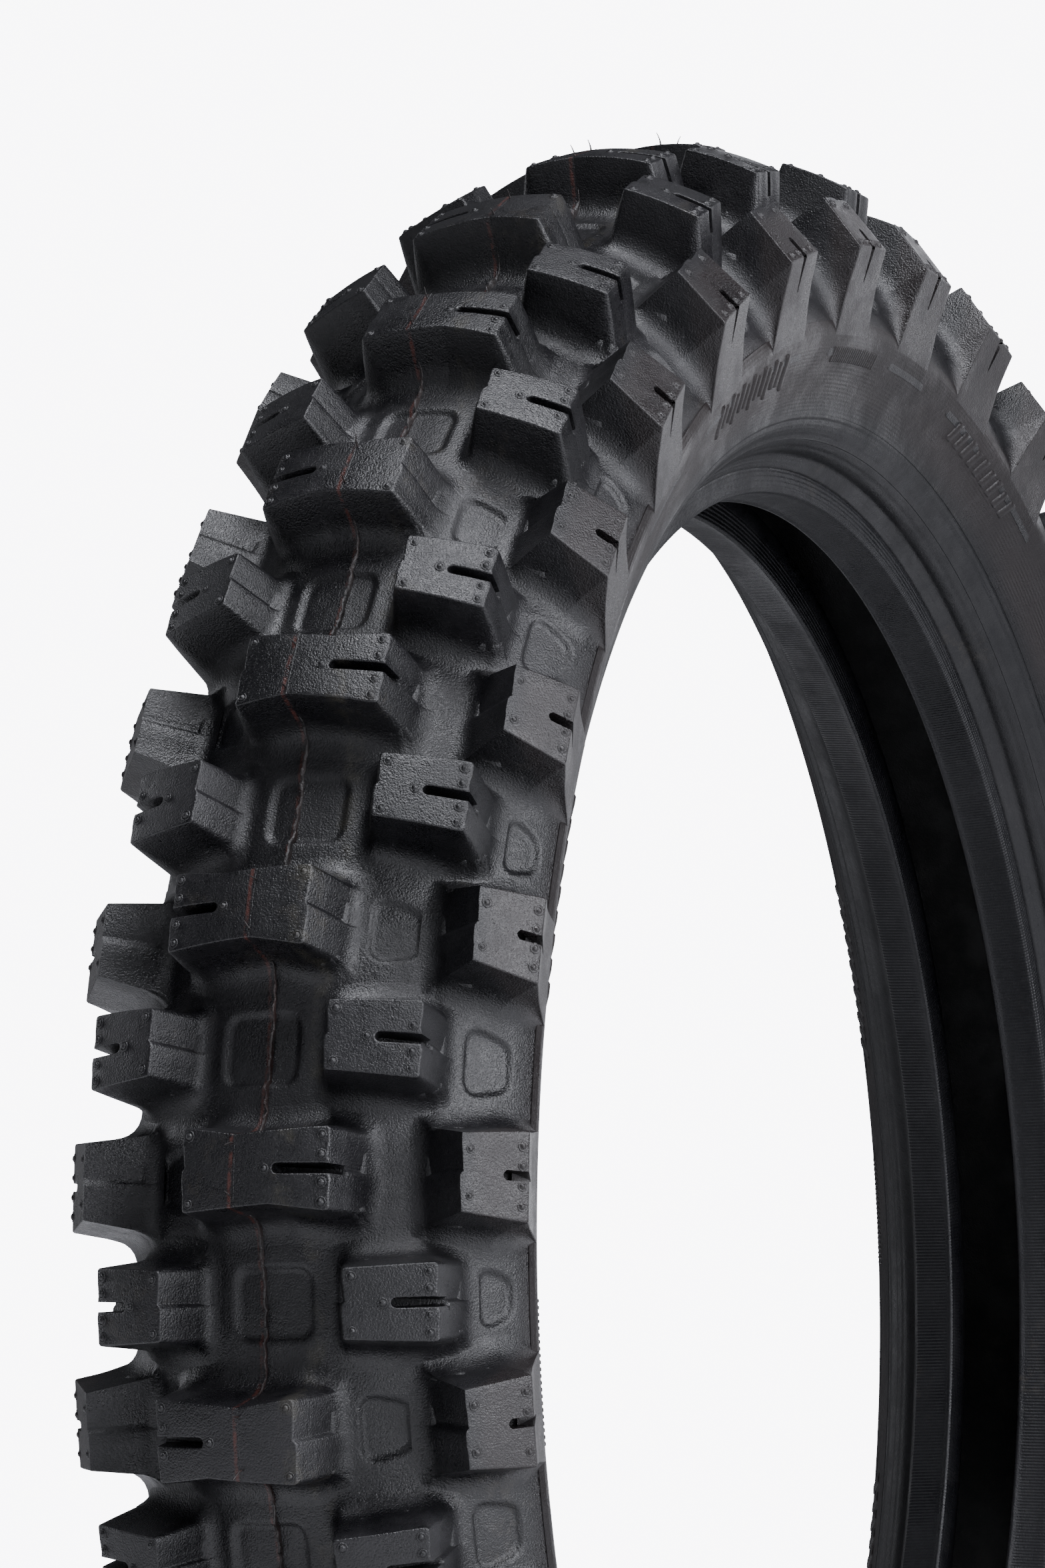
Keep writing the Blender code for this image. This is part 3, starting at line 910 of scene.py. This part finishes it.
fin_points = np.stack([
    world(sway * (0.4 + share) + offset + 0.25, fin_base + (fin_top - fin_base) * share, fin_angles)
    for offset, share in FIN_SECTION
], 1)
fin_faces = grid_quads(FIN_COUNT, len(FIN_SECTION), closed=True)[:, ::-1]
pieces["flash_fin"] = new_mesh("flash_fin", fin_points.reshape(-1, 3), [fin_faces])

crest = Gather()
for row in range(ROW_COUNT):
    flip = row_turns(row)[1]
    s = np.linspace(-9.6, 9.6, 25)
    s = s[(s * flip < APEX_HALF + 0.1) & (s * flip > -9.7)]
    wander = 0.1 + 0.05 * np.sin(s * 1.1 + row)
    angles = FIRST_ROW + row * PITCH + s / TYRE_RADIUS
    strip = np.stack([world(dt + wander, TYRE_RADIUS + dr, angles) for dt, dr in CREST_SECTION], 1)
    crest.add(strip.reshape(-1, 3), None, grid_quads(len(s), len(CREST_SECTION))[:, ::-1])
pieces["parting_crest"] = crest.make("parting_crest")


# ---- rings

def revolve(name, section, count, hand=1, sharp=None):
    """Closed ring from a closed section, clockwise seen with t right and r up."""
    section = np.array(section)[::-1]
    angles = TURN * np.arange(count) / count
    spot = world(section[None, :, 0] * hand, section[None, :, 1], angles[:, None])
    quads = grid_quads(count, len(section), wrap=True, closed=True)
    if hand < 0:
        quads = quads[:, ::-1]
    piece = new_mesh(name, spot.reshape(-1, 3), [quads])
    if sharp is not None:
        piece.data.set_sharp_from_angle(angle=math.radians(sharp))
    return piece


WALL = spline([
    (55.8, 291.0), (56.3, 288.0), (55.2, 284.4), (53.0, 280.2), (50.5, 276.0), (48.0, 271.2),
    (45.7, 266.8), (44.5, 264.1),
], 0.8)
RIM_LINE = [(44.3, 263.5), (44.1, 263.5), (43.8, 262.8), (43.5, 262.3)]
BAND = spline([
    (43.2, 262.2), (42.5, 260.8), (41.2, 259.2), (39.9, 258.1), (38.9, 257.2), (38.3, 256.4),
], 0.6)
WALL_BACK = [
    (37.6, 256.6), (37.0, 258.2), (45.6, 268.5), (50.0, 275.6), (53.6, 284.0), (54.6, 291.0),
]
wall_section = np.concatenate([WALL, RIM_LINE, BAND, WALL_BACK])

CUSHION = spline([
    (38.2, 256.3), (37.2, 255.5), (35.4, 254.4), (33.6, 253.3), (32.2, 252.9), (31.0, 252.8),
    (29.8, 251.9), (28.4, 250.2), (27.0, 248.6),
], 0.6)
CUSHION_BACK = [(26.0, 248.6), (26.0, 249.6), (36.8, 258.0), (37.8, 257.2)]
cushion_section = np.concatenate([CUSHION, CUSHION_BACK])

# Bead: from the outer wall round heel, base and toe, up the inside
HEEL = [
    (26.4, 249.2), (26.55, 246.8), (26.55, 244.0), (26.4, 242.4), (25.7, 241.2), (24.4, 240.7),
]
BASE = [(22.0, 240.5), (19.0, 240.2), (16.4, 239.9), (14.6, 239.6)]
TOE = [(13.6, 239.2), (12.8, 239.0), (12.2, 239.6), (12.0, 240.6), (12.1, 242.4)]
INSIDE = [(12.1, 246.0), (12.0, 250.8), (13.6, 255.2), (17.6, 258.6), (24.0, 262.0)]
BEAD_BACK = [
    (24.4, 263.0), (17.2, 259.6), (13.2, 255.8), (12.7, 250.8), (12.8, 242.4), (13.4, 240.9),
    (24.0, 241.9), (25.3, 242.6), (25.6, 249.2),
]
bead_section = np.concatenate([
    spline(HEEL, 0.5), spline([HEEL[-1], *BASE, TOE[0]], 1.0)[1:], spline(TOE, 0.4)[1:],
    spline([TOE[-1], *INSIDE], 1.2)[1:], BEAD_BACK,
])

LINER = spline([
    (0.0, 320.8), (10.0, 319.6), (20.0, 316.6), (30.0, 310.9), (36.8, 305.8), (42.4, 298.0),
    (46.8, 290.6), (47.0, 283.0), (43.0, 277.8), (34.0, 271.0), (22.6, 263.0), (17.4, 259.2),
], 2.0)
liner_path = np.concatenate([LINER[:0:-1] * (-1, 1), LINER])
LINER_THICK = 1.2
liner_section = np.concatenate([liner_path + (0, LINER_THICK), liner_path[::-1]])

wall_v = arc_lengths(WALL)
wall_slopes = np.gradient(WALL, wall_v, axis=0)


def on_wall(v, lift):
    """Section point on the sidewall at an arc length, lifted off it."""
    t, r, dt, dr = path_at(v, wall_v, WALL, wall_slopes)
    size = np.hypot(dt, dr)
    return t - dr / size * lift, r + dt / size * lift


# Raised bar: (share of its width, share of its height) across it, and how far its foot is sunk
BAR_SECTION = ((-0.62, -0.15), (-0.42, 1.0), (0.0, 1.06), (0.42, 1.0), (0.62, -0.15))
BAR_SUNK = 0.15
BAR_SLOPE = 0.35
MARK_RADIUS = 275.0

def add_bar(gather, hand, angle, span, width, slant, high):
    """Raised bar across the sidewall, its ends and sides sloped."""
    v = np.linspace(*span, 8)
    v = np.concatenate([[v[0] - BAR_SLOPE], v, [v[-1] + BAR_SLOPE]])
    rows = []
    for offset, lift in BAR_SECTION:
        up = np.full(len(v), lift * high)
        up[[0, -1]] = -BAR_SUNK
        t, r = on_wall(v, up)
        turn = angle + (offset * width + slant * (v - v[0])) / MARK_RADIUS
        rows.append(world(t * hand, r, turn))
    quads = grid_quads(len(v), len(BAR_SECTION))
    gather.add(np.stack(rows, 1).reshape(-1, 3), None, quads, reverse=hand > 0)


# Plain marks in place of lettering: slanted bars, fine ribs, bars slanted the other way
SIDES = (("right", 1), ("left", -1))
MARK_GROUPS = 4
FIRST_MARK = 1.02
for word, hand in SIDES:
    marks = Gather()
    for group in range(MARK_GROUPS):
        first = FIRST_MARK + group * TURN / MARK_GROUPS
        for k in range(13):
            span = (9.0 if k % 2 else 7.4, 17.4 if k % 3 else 19.6)
            add_bar(marks, hand, first + k * 0.0172, span, 2.3, 0.32, 0.5)
        for k in range(22):
            add_bar(marks, hand, first + 0.36 + k * 0.0062, (8.2, 13.2), 0.9, 0.0, 0.28)
        for k in range(9):
            span = (8.6 + 0.5 * (k % 2), 15.8)
            add_bar(marks, hand, first + 0.78 + k * 0.024, span, 3.2, -0.4, 0.5)
    pieces["sidewall_marks_" + word] = marks.make("sidewall_marks_" + word)

ROUND_STEPS = 512
SECTIONS = {
    "sidewall_skin_": wall_section, "rim_band_": cushion_section, "bead_": bead_section,
}
for word, hand in SIDES:
    for kind, section in SECTIONS.items():
        pieces[kind + word] = revolve(kind + word, section, ROUND_STEPS, hand, SHARP)
pieces["cavity_liner"] = revolve("cavity_liner", liner_section, ROUND_STEPS // 2)

# ---- finish

for name, piece in pieces.items():
    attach(piece, "root")
for name in floor_names:
    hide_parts("tread")
for name in (
    "centre_blocks", "intermediate_knobs", "shoulder_knobs", "vent_pips", "vent_whiskers",
    "flash_fin", "parting_crest",
):
    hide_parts("tread")
for word in ("left", "right"):
    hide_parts("sidewall_" + word)
    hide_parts("sidewall_" + word)
    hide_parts("rim_cushion_" + word)
    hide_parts("chafer_" + word)
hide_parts("inner_liner")


# ---- materials

class Look:
    """Node material with short ways to add nodes. Values are constants or other outputs."""

    def __init__(self, name):
        self.made = bpy.data.materials.new(name)
        self.made.use_nodes = True
        self.tree = self.made.node_tree
        self.spot = self.node("TexCoord").outputs["Object"]

    def feed(self, node, inputs):
        for key, value in inputs.items():
            if isinstance(value, bpy.types.NodeSocket):
                self.tree.links.new(value, node.inputs[key])
            elif value is not None:
                node.inputs[key].default_value = value

    def node(self, kind, inputs=None, **settings):
        made = self.tree.nodes.new("ShaderNode" + kind)
        for key, value in settings.items():
            setattr(made, key, value)
        self.feed(made, inputs or {})
        return made

    def shade(self, inputs):
        """Sets the shader's own sockets and returns the material."""
        self.feed(self.tree.nodes["Principled BSDF"], inputs)
        return self.made

    def noise(self, scale, detail=3.0, rough=0.55):
        inputs = {"Vector": self.spot, "Scale": scale, "Detail": detail, "Roughness": rough}
        return self.node("TexNoise", inputs).outputs["Fac"]

    def ramp(self, value, low, high, start=0.0, end=1.0):
        inputs = {"Value": value, "From Min": low, "From Max": high, "To Min": start, "To Max": end}
        return self.node("MapRange", inputs, interpolation_type="SMOOTHSTEP").outputs["Result"]

    def math(self, operation, first, second=None):
        return self.node("Math", {0: first, 1: second}, operation=operation).outputs["Value"]

    def times(self, first, second):
        return self.math("MULTIPLY", first, second)

    def plus(self, first, second):
        return self.math("ADD", first, second)

    def wave(self, value, rate):
        return self.math("SINE", self.times(value, rate))

    def mix(self, factor, first, second):
        """Mix of two tints, each (r, g, b) or an output."""
        first, second = ((*v, 1.0) if isinstance(v, tuple) else v for v in (first, second))
        return self.node("Mix", {0: factor, 6: first, 7: second}, data_type="RGBA").outputs[2]

    def bump(self, height, distance, strength=1.0, under=None):
        inputs = {"Strength": strength, "Distance": distance, "Height": height, "Normal": under}
        return self.node("Bump", inputs).outputs["Normal"]

    def axes(self):
        return tuple(self.node("SeparateXYZ", {"Vector": self.spot}).outputs)


def band(look, axis_value, middle, half, soft):
    """1 on a band of a coordinate, fading to 0 over soft."""
    off = look.math("ABSOLUTE", look.math("SUBTRACT", axis_value, middle))
    return look.ramp(off, half + soft, half)

def polar(look):
    """Distance of a point from the wheel's axis, and its angle round it."""
    x, _, z = look.axes()
    square = look.plus(look.times(x, x), look.times(z, z))
    return look.math("SQRT", square), look.math("ARCTAN2", z, x)


# Tints of the rubber, and where its marks are (m from the centre plane or the axis)
GREY_SPECK = (0.036, 0.035, 0.035)
STAIN = (0.03, 0.026, 0.02)
RED_LINE = (0.085, 0.024, 0.017)
PALE_LINE = (0.06, 0.055, 0.036)
# Brown of the shoulders' outer faces: partly faded rubber, partly painted sheen
FADE_AND_SHEEN_EDGE = (0.0115, 0.0086, 0.0086)
# Painted brown sheen for the outer band of the sidewalls
PAINTED_SHEEN_WALL = (0.0118, 0.0086, 0.0084)
RED_BAND = (0.0009, 0.0002, 0.0006)
PALE_BAND = (-0.0135, 0.0014, 0.002)
CLOTH_BAND = (0.2438, 0.0034, 0.0012)


def rubber(name, dark, light, rough, grain=0.00016, stripe=False, ringed=False, woven=False):
    """Moulded rubber: mottled black, fine grain, lighter patches of dust and painted sheen, and a
    few stains.

    stripe: the coloured lines of a tread, and outer shoulder faces made browner, partly faded rubber
    and partly painted sheen. ringed: lathe rings of a sidewall, and a painted brown sheen on its
    outer band.
    woven: fabric at the bead.
    """
    look = Look(name)
    patches = look.noise(11.0, 4.0, 0.6)
    mottle = look.noise(95.0, 5.0, 0.65)
    fine = look.noise(1900.0, 2.0, 0.6)
    speck = look.noise(700.0, 3.0, 0.7)
    # Lighter patches over the black: partly dust, partly painted sheen
    dust_and_sheen = look.times(look.ramp(patches, 0.38, 0.64), look.ramp(mottle, 0.3, 0.62))
    colour = look.mix(dust_and_sheen, dark, light)
    colour = look.mix(look.ramp(speck, 0.62, 0.74, 0.0, 0.35), colour, GREY_SPECK)
    spots = look.ramp(look.noise(26.0, 6.0, 0.75), 0.58, 0.68)
    stain = look.times(spots, look.ramp(look.noise(240.0, 4.0, 0.7), 0.45, 0.6))
    colour = look.mix(look.times(stain, 0.35), colour, STAIN)
    gloss = look.ramp(look.noise(38.0, 5.0, 0.7), 0.4, 0.62, rough + 0.09, rough - 0.10)
    gloss = look.plus(gloss, look.ramp(fine, 0.3, 0.7, -0.06, 0.06))
    if stripe:
        side = look.axes()[1]
        waver = look.times(look.math("SUBTRACT", look.noise(60.0, 3.0), 0.5), 0.0016)
        wavy = look.plus(side, waver)
        broken = look.ramp(look.noise(330.0, 4.0, 0.7), 0.38, 0.6)
        red = look.times(band(look, wavy, *RED_BAND), broken)
        colour = look.mix(look.times(red, 0.55), colour, RED_LINE)
        faded = look.ramp(look.noise(120.0, 5.0, 0.7), 0.46, 0.66)
        pale = look.times(band(look, wavy, *PALE_BAND), faded)
        colour = look.mix(look.times(pale, 0.22), colour, PALE_LINE)
        # Outer faces of the shoulders made browner: partly faded rubber, partly painted sheen
        edge = look.ramp(look.math("ABSOLUTE", side), 0.0535, 0.0575)
        fade_and_sheen = look.times(edge, look.ramp(mottle, 0.25, 0.6, 0.45, 1.0))
        colour = look.mix(look.times(fade_and_sheen, 0.8), colour, FADE_AND_SHEEN_EDGE)
    normal = look.bump(look.noise(170.0, 4.0, 0.6), 0.0009, 0.28)
    if ringed or woven:
        radius, around = polar(look)
    if ringed:
        # Painted brown sheen on the sidewall's outer band, near the tread
        wall_sheen = look.times(look.ramp(radius, 0.262, 0.272), look.ramp(patches, 0.3, 0.66, 0.5, 1.0))
        colour = look.mix(look.times(wall_sheen, 0.85), colour, PAINTED_SHEEN_WALL)
        lathe = look.times(look.wave(radius, 5600.0), look.ramp(mottle, 0.4, 0.7, 0.2, 1.0))
        normal = look.bump(lathe, 0.00006, 0.5, normal)
    if woven:
        cloth = look.plus(look.wave(around, 1370.0), look.wave(radius, 4200.0))
        on_foot = band(look, radius, *CLOTH_BAND)
        normal = look.bump(look.times(cloth, on_foot), 0.00025, 0.55, normal)
        gloss = look.plus(gloss, look.times(on_foot, 0.08))
    return look.shade({
        "Base Color": colour, "Roughness": gloss,
        "Normal": look.bump(fine, grain * 2.2, 0.75, normal),
        "Specular IOR Level": 0.3 if ringed or woven else 0.5,
    })


tread_look = rubber(
    "tread_rubber_painted_sheen", (0.0026, 0.0026, 0.0034), (0.0078, 0.0074, 0.0088), 0.36, stripe=True)
wall_look = rubber(
    "sidewall_rubber_satin", (0.0030, 0.0031, 0.0040), (0.0060, 0.0058, 0.0066), 0.42, 0.00008,
    ringed=True)
bead_look = rubber(
    "bead_rubber_woven", (0.0040, 0.0041, 0.0052), (0.0085, 0.0086, 0.0100), 0.38, 0.00012,
    woven=True)
fin_look = rubber("flash_rubber_black", (0.005, 0.0045, 0.0045), (0.022, 0.0105, 0.009), 0.46)
liner_look = rubber(
    "liner_rubber_black", (0.003, 0.003, 0.0034), (0.006, 0.006, 0.0066), 0.6, 0.0001)
LOOKS = {
    "flash_fin": fin_look, "vent_whiskers": fin_look, "bead": bead_look,
    "cavity_liner": liner_look, "sidewall": wall_look, "rim_band": wall_look,
}
for name, piece in pieces.items():
    look = next((look for start, look in LOOKS.items() if name.startswith(start)), tread_look)
    piece.data.materials.append(look)


def cord_look(name, colour):
    """Rubbered cord layer: rows of cords across the layer."""
    look = Look(name)
    wave = look.wave(look.axes()[1], 5200.0)
    shade = look.mix(look.ramp(wave, -0.6, 0.8), tuple(0.35 * c for c in colour), colour)
    shade = look.mix(look.ramp(look.noise(70.0, 4.0), 0.4, 0.7), shade, colour)
    rough = look.ramp(look.noise(300.0), 0.3, 0.7, 0.6, 0.85)
    return look.shade({
        "Base Color": shade, "Roughness": rough, "Normal": look.bump(wave, 0.0003, 0.6),
    })


inner_looks = {
    "body_ply_inner": cord_look("ply_cords", (0.16, 0.12, 0.08)),
    "body_ply_outer": cord_look("ply_cords_outer", (0.17, 0.13, 0.085)),
    "crown_breaker": cord_look("breaker_cords", (0.20, 0.16, 0.10)),
    "tread_base": rubber("base_rubber_soft", (0.02, 0.019, 0.018), (0.05, 0.046, 0.042), 0.6),
    "bead_filler_left": rubber("filler_rubber_hard", (0.03, 0.028, 0.027), (0.06, 0.055, 0.05), 0.5),
    "bead_core_left": cord_look("bead_wires", (0.5, 0.4, 0.22)),
}
inner_looks["bead_filler_right"] = inner_looks["bead_filler_left"]
inner_looks["bead_core_right"] = inner_looks["bead_core_left"]
for name, look in inner_looks.items():
    node = frame["nodes"][name]
    for slot in node.material_slots:
        slot.material = look

# Floor, backdrop light and camera
HALF_FLOOR = 2.4
corners = [(x * HALF_FLOOR, y * HALF_FLOOR, 0) for x, y in ((-1, -1), (1, -1), (1, 1), (-1, 1))]
floor_mesh = bpy.data.meshes.new("studio_floor")
floor_mesh.from_pydata(corners, [], [(0, 1, 2, 3)])
floor = bpy.data.objects.new("studio_floor", floor_mesh)
floor.location.z = cad_box[0][2] - 0.0005
bpy.context.collection.objects.link(floor)
paper = Look("studio_paper")
shade = paper.mix(paper.ramp(paper.noise(3.0), 0.3, 0.7), (0.80, 0.80, 0.81), (0.84, 0.84, 0.85))
floor.data.materials.append(paper.shade({"Base Color": shade, "Roughness": 0.7}))

world_look = bpy.data.worlds.new("studio_air")
world_look.use_nodes = True
air = world_look.node_tree
soft = air.nodes["Background"]
soft.inputs["Color"].default_value = (0.90, 0.92, 1.0, 1)
soft.inputs["Strength"].default_value = 0.07
backdrop = air.nodes.new("ShaderNodeBackground")
backdrop.inputs["Color"].default_value = (0.965, 0.955, 1.0, 1)
backdrop.inputs["Strength"].default_value = 9.0
seen = air.nodes.new("ShaderNodeLightPath")
choose = air.nodes.new("ShaderNodeMixShader")
air.links.new(seen.outputs["Is Camera Ray"], choose.inputs["Fac"])
air.links.new(soft.outputs["Background"], choose.inputs[1])
air.links.new(backdrop.outputs["Background"], choose.inputs[2])
air.links.new(choose.outputs["Shader"], air.nodes["World Output"].inputs["Surface"])
bpy.context.scene.world = world_look


def area_light(name, spot, aim, size, power):
    light = bpy.data.lights.new(name, "AREA")
    light.shape = "RECTANGLE"
    light.size, light.size_y = size
    light.energy = power
    light.color = (0.93, 0.94, 1.0)
    lamp = bpy.data.objects.new(name, light)
    lamp.location = spot
    lamp.visible_camera = False
    lamp.rotation_euler = (Vector(aim) - Vector(spot)).to_track_quat("-Z", "Y").to_euler()
    bpy.context.collection.objects.link(lamp)


area_light("key_light", (-1.5, -2.2, 0.9), (-0.25, 0, 0.05), (0.9, 1.8), 42)
area_light("side_light", (-0.1, -2.6, 0.9), (-0.15, 0, 0.05), (1.1, 1.9), 78)
area_light("top_light", (-0.9, -0.5, 2.4), (-0.1, 0, 0.1), (1.3, 1.3), 88)
area_light("left_light", (0.6, 2.8, 0.8), (-0.1, 0, 0), (1.0, 1.8), 12)
area_light("back_light", (3.2, -0.2, 0.9), (0, 0, 0), (2.6, 2.2), 36)
area_light("front_light", (-2.7, 0.6, 1.2), (-0.3, 0, 0), (0.8, 0.8), 7)

CAMERA_SPOT = (-1.58164, -0.61320, -0.06844)
CAMERA_PITCH = math.radians(7.472)
CAMERA_YAW = math.radians(23.427)
lens = bpy.data.cameras.new("photo_camera")
lens.lens = 125.67
lens.sensor_width = 36.0
lens.clip_start = 0.05
lens.clip_end = 100.0
camera = bpy.data.objects.new("photo_camera", lens)
camera.location = CAMERA_SPOT
camera.rotation_euler = (math.pi / 2 + CAMERA_PITCH, 0.0, CAMERA_YAW - math.pi / 2)
bpy.context.collection.objects.link(camera)
bpy.context.scene.camera = camera
